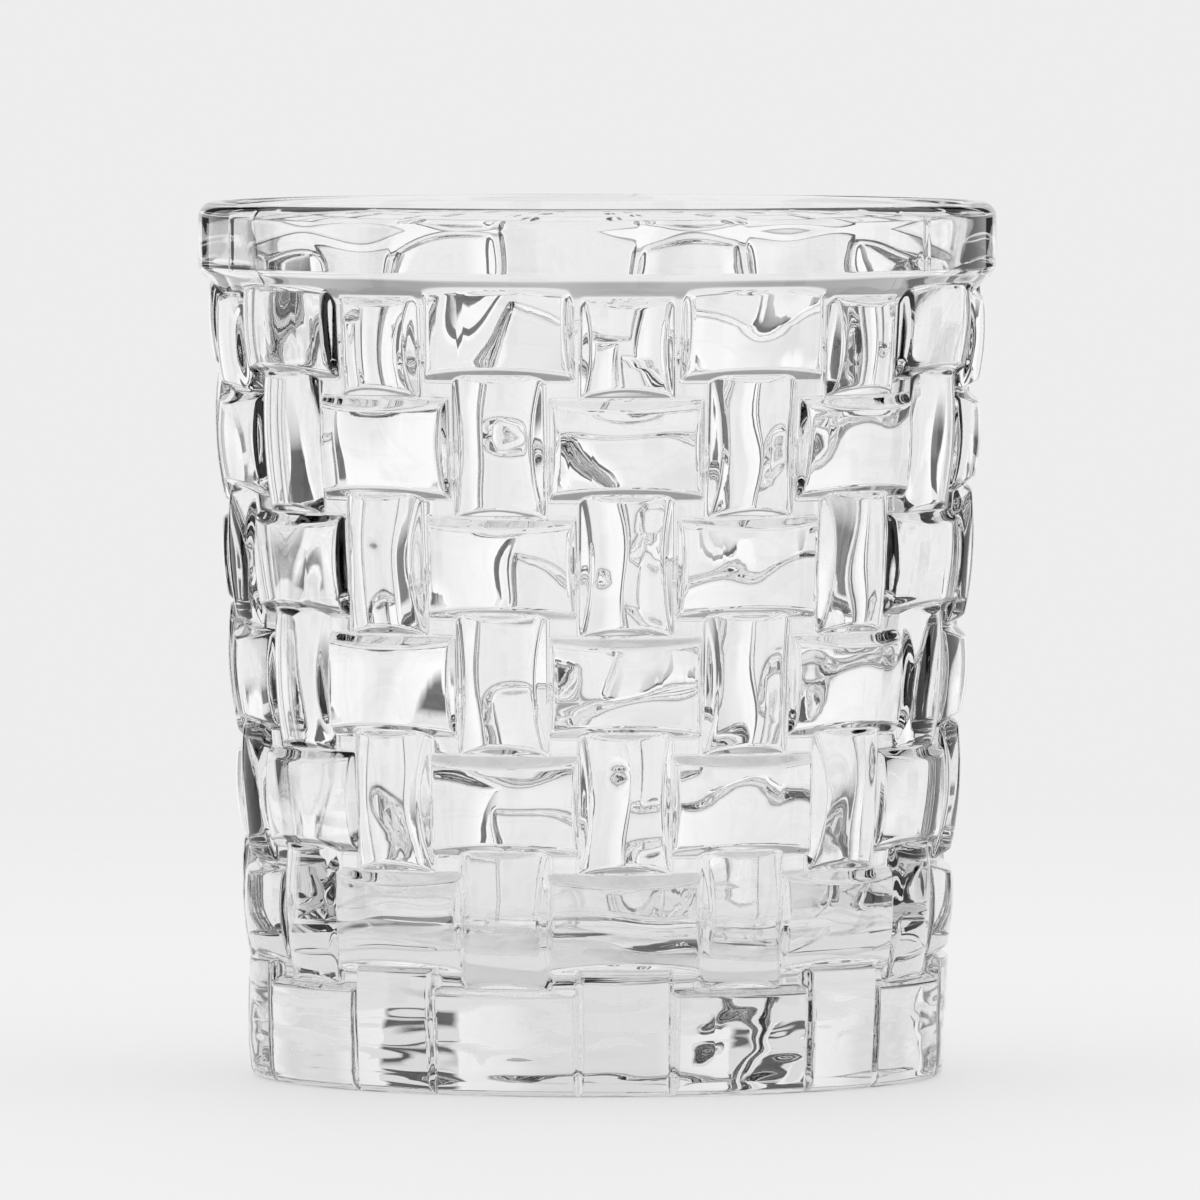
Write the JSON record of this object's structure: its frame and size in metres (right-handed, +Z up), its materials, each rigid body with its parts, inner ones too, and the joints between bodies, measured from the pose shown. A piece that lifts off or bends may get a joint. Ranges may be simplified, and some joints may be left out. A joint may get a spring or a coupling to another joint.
{
  "type": "whiskey tumbler",
  "caption": "Straight-sided pressed-glass drinking tumbler with a thick base, a plain rim band and a basket-weave relief.",
  "frame": {"origin": "centre of the foot, on the plane that the tumbler stands on", "axes": "+Z up along the tumbler's axis; -Y is the side that the weave's column azimuths are measured from"},
  "size_m": [0.09, 0.09, 0.0986],
  "materials": {
    "glass": "clear, fire-polished"
  },
  "bodies": {
    "root": {"tumbler": "glass"}
  },
  "joints": []
}
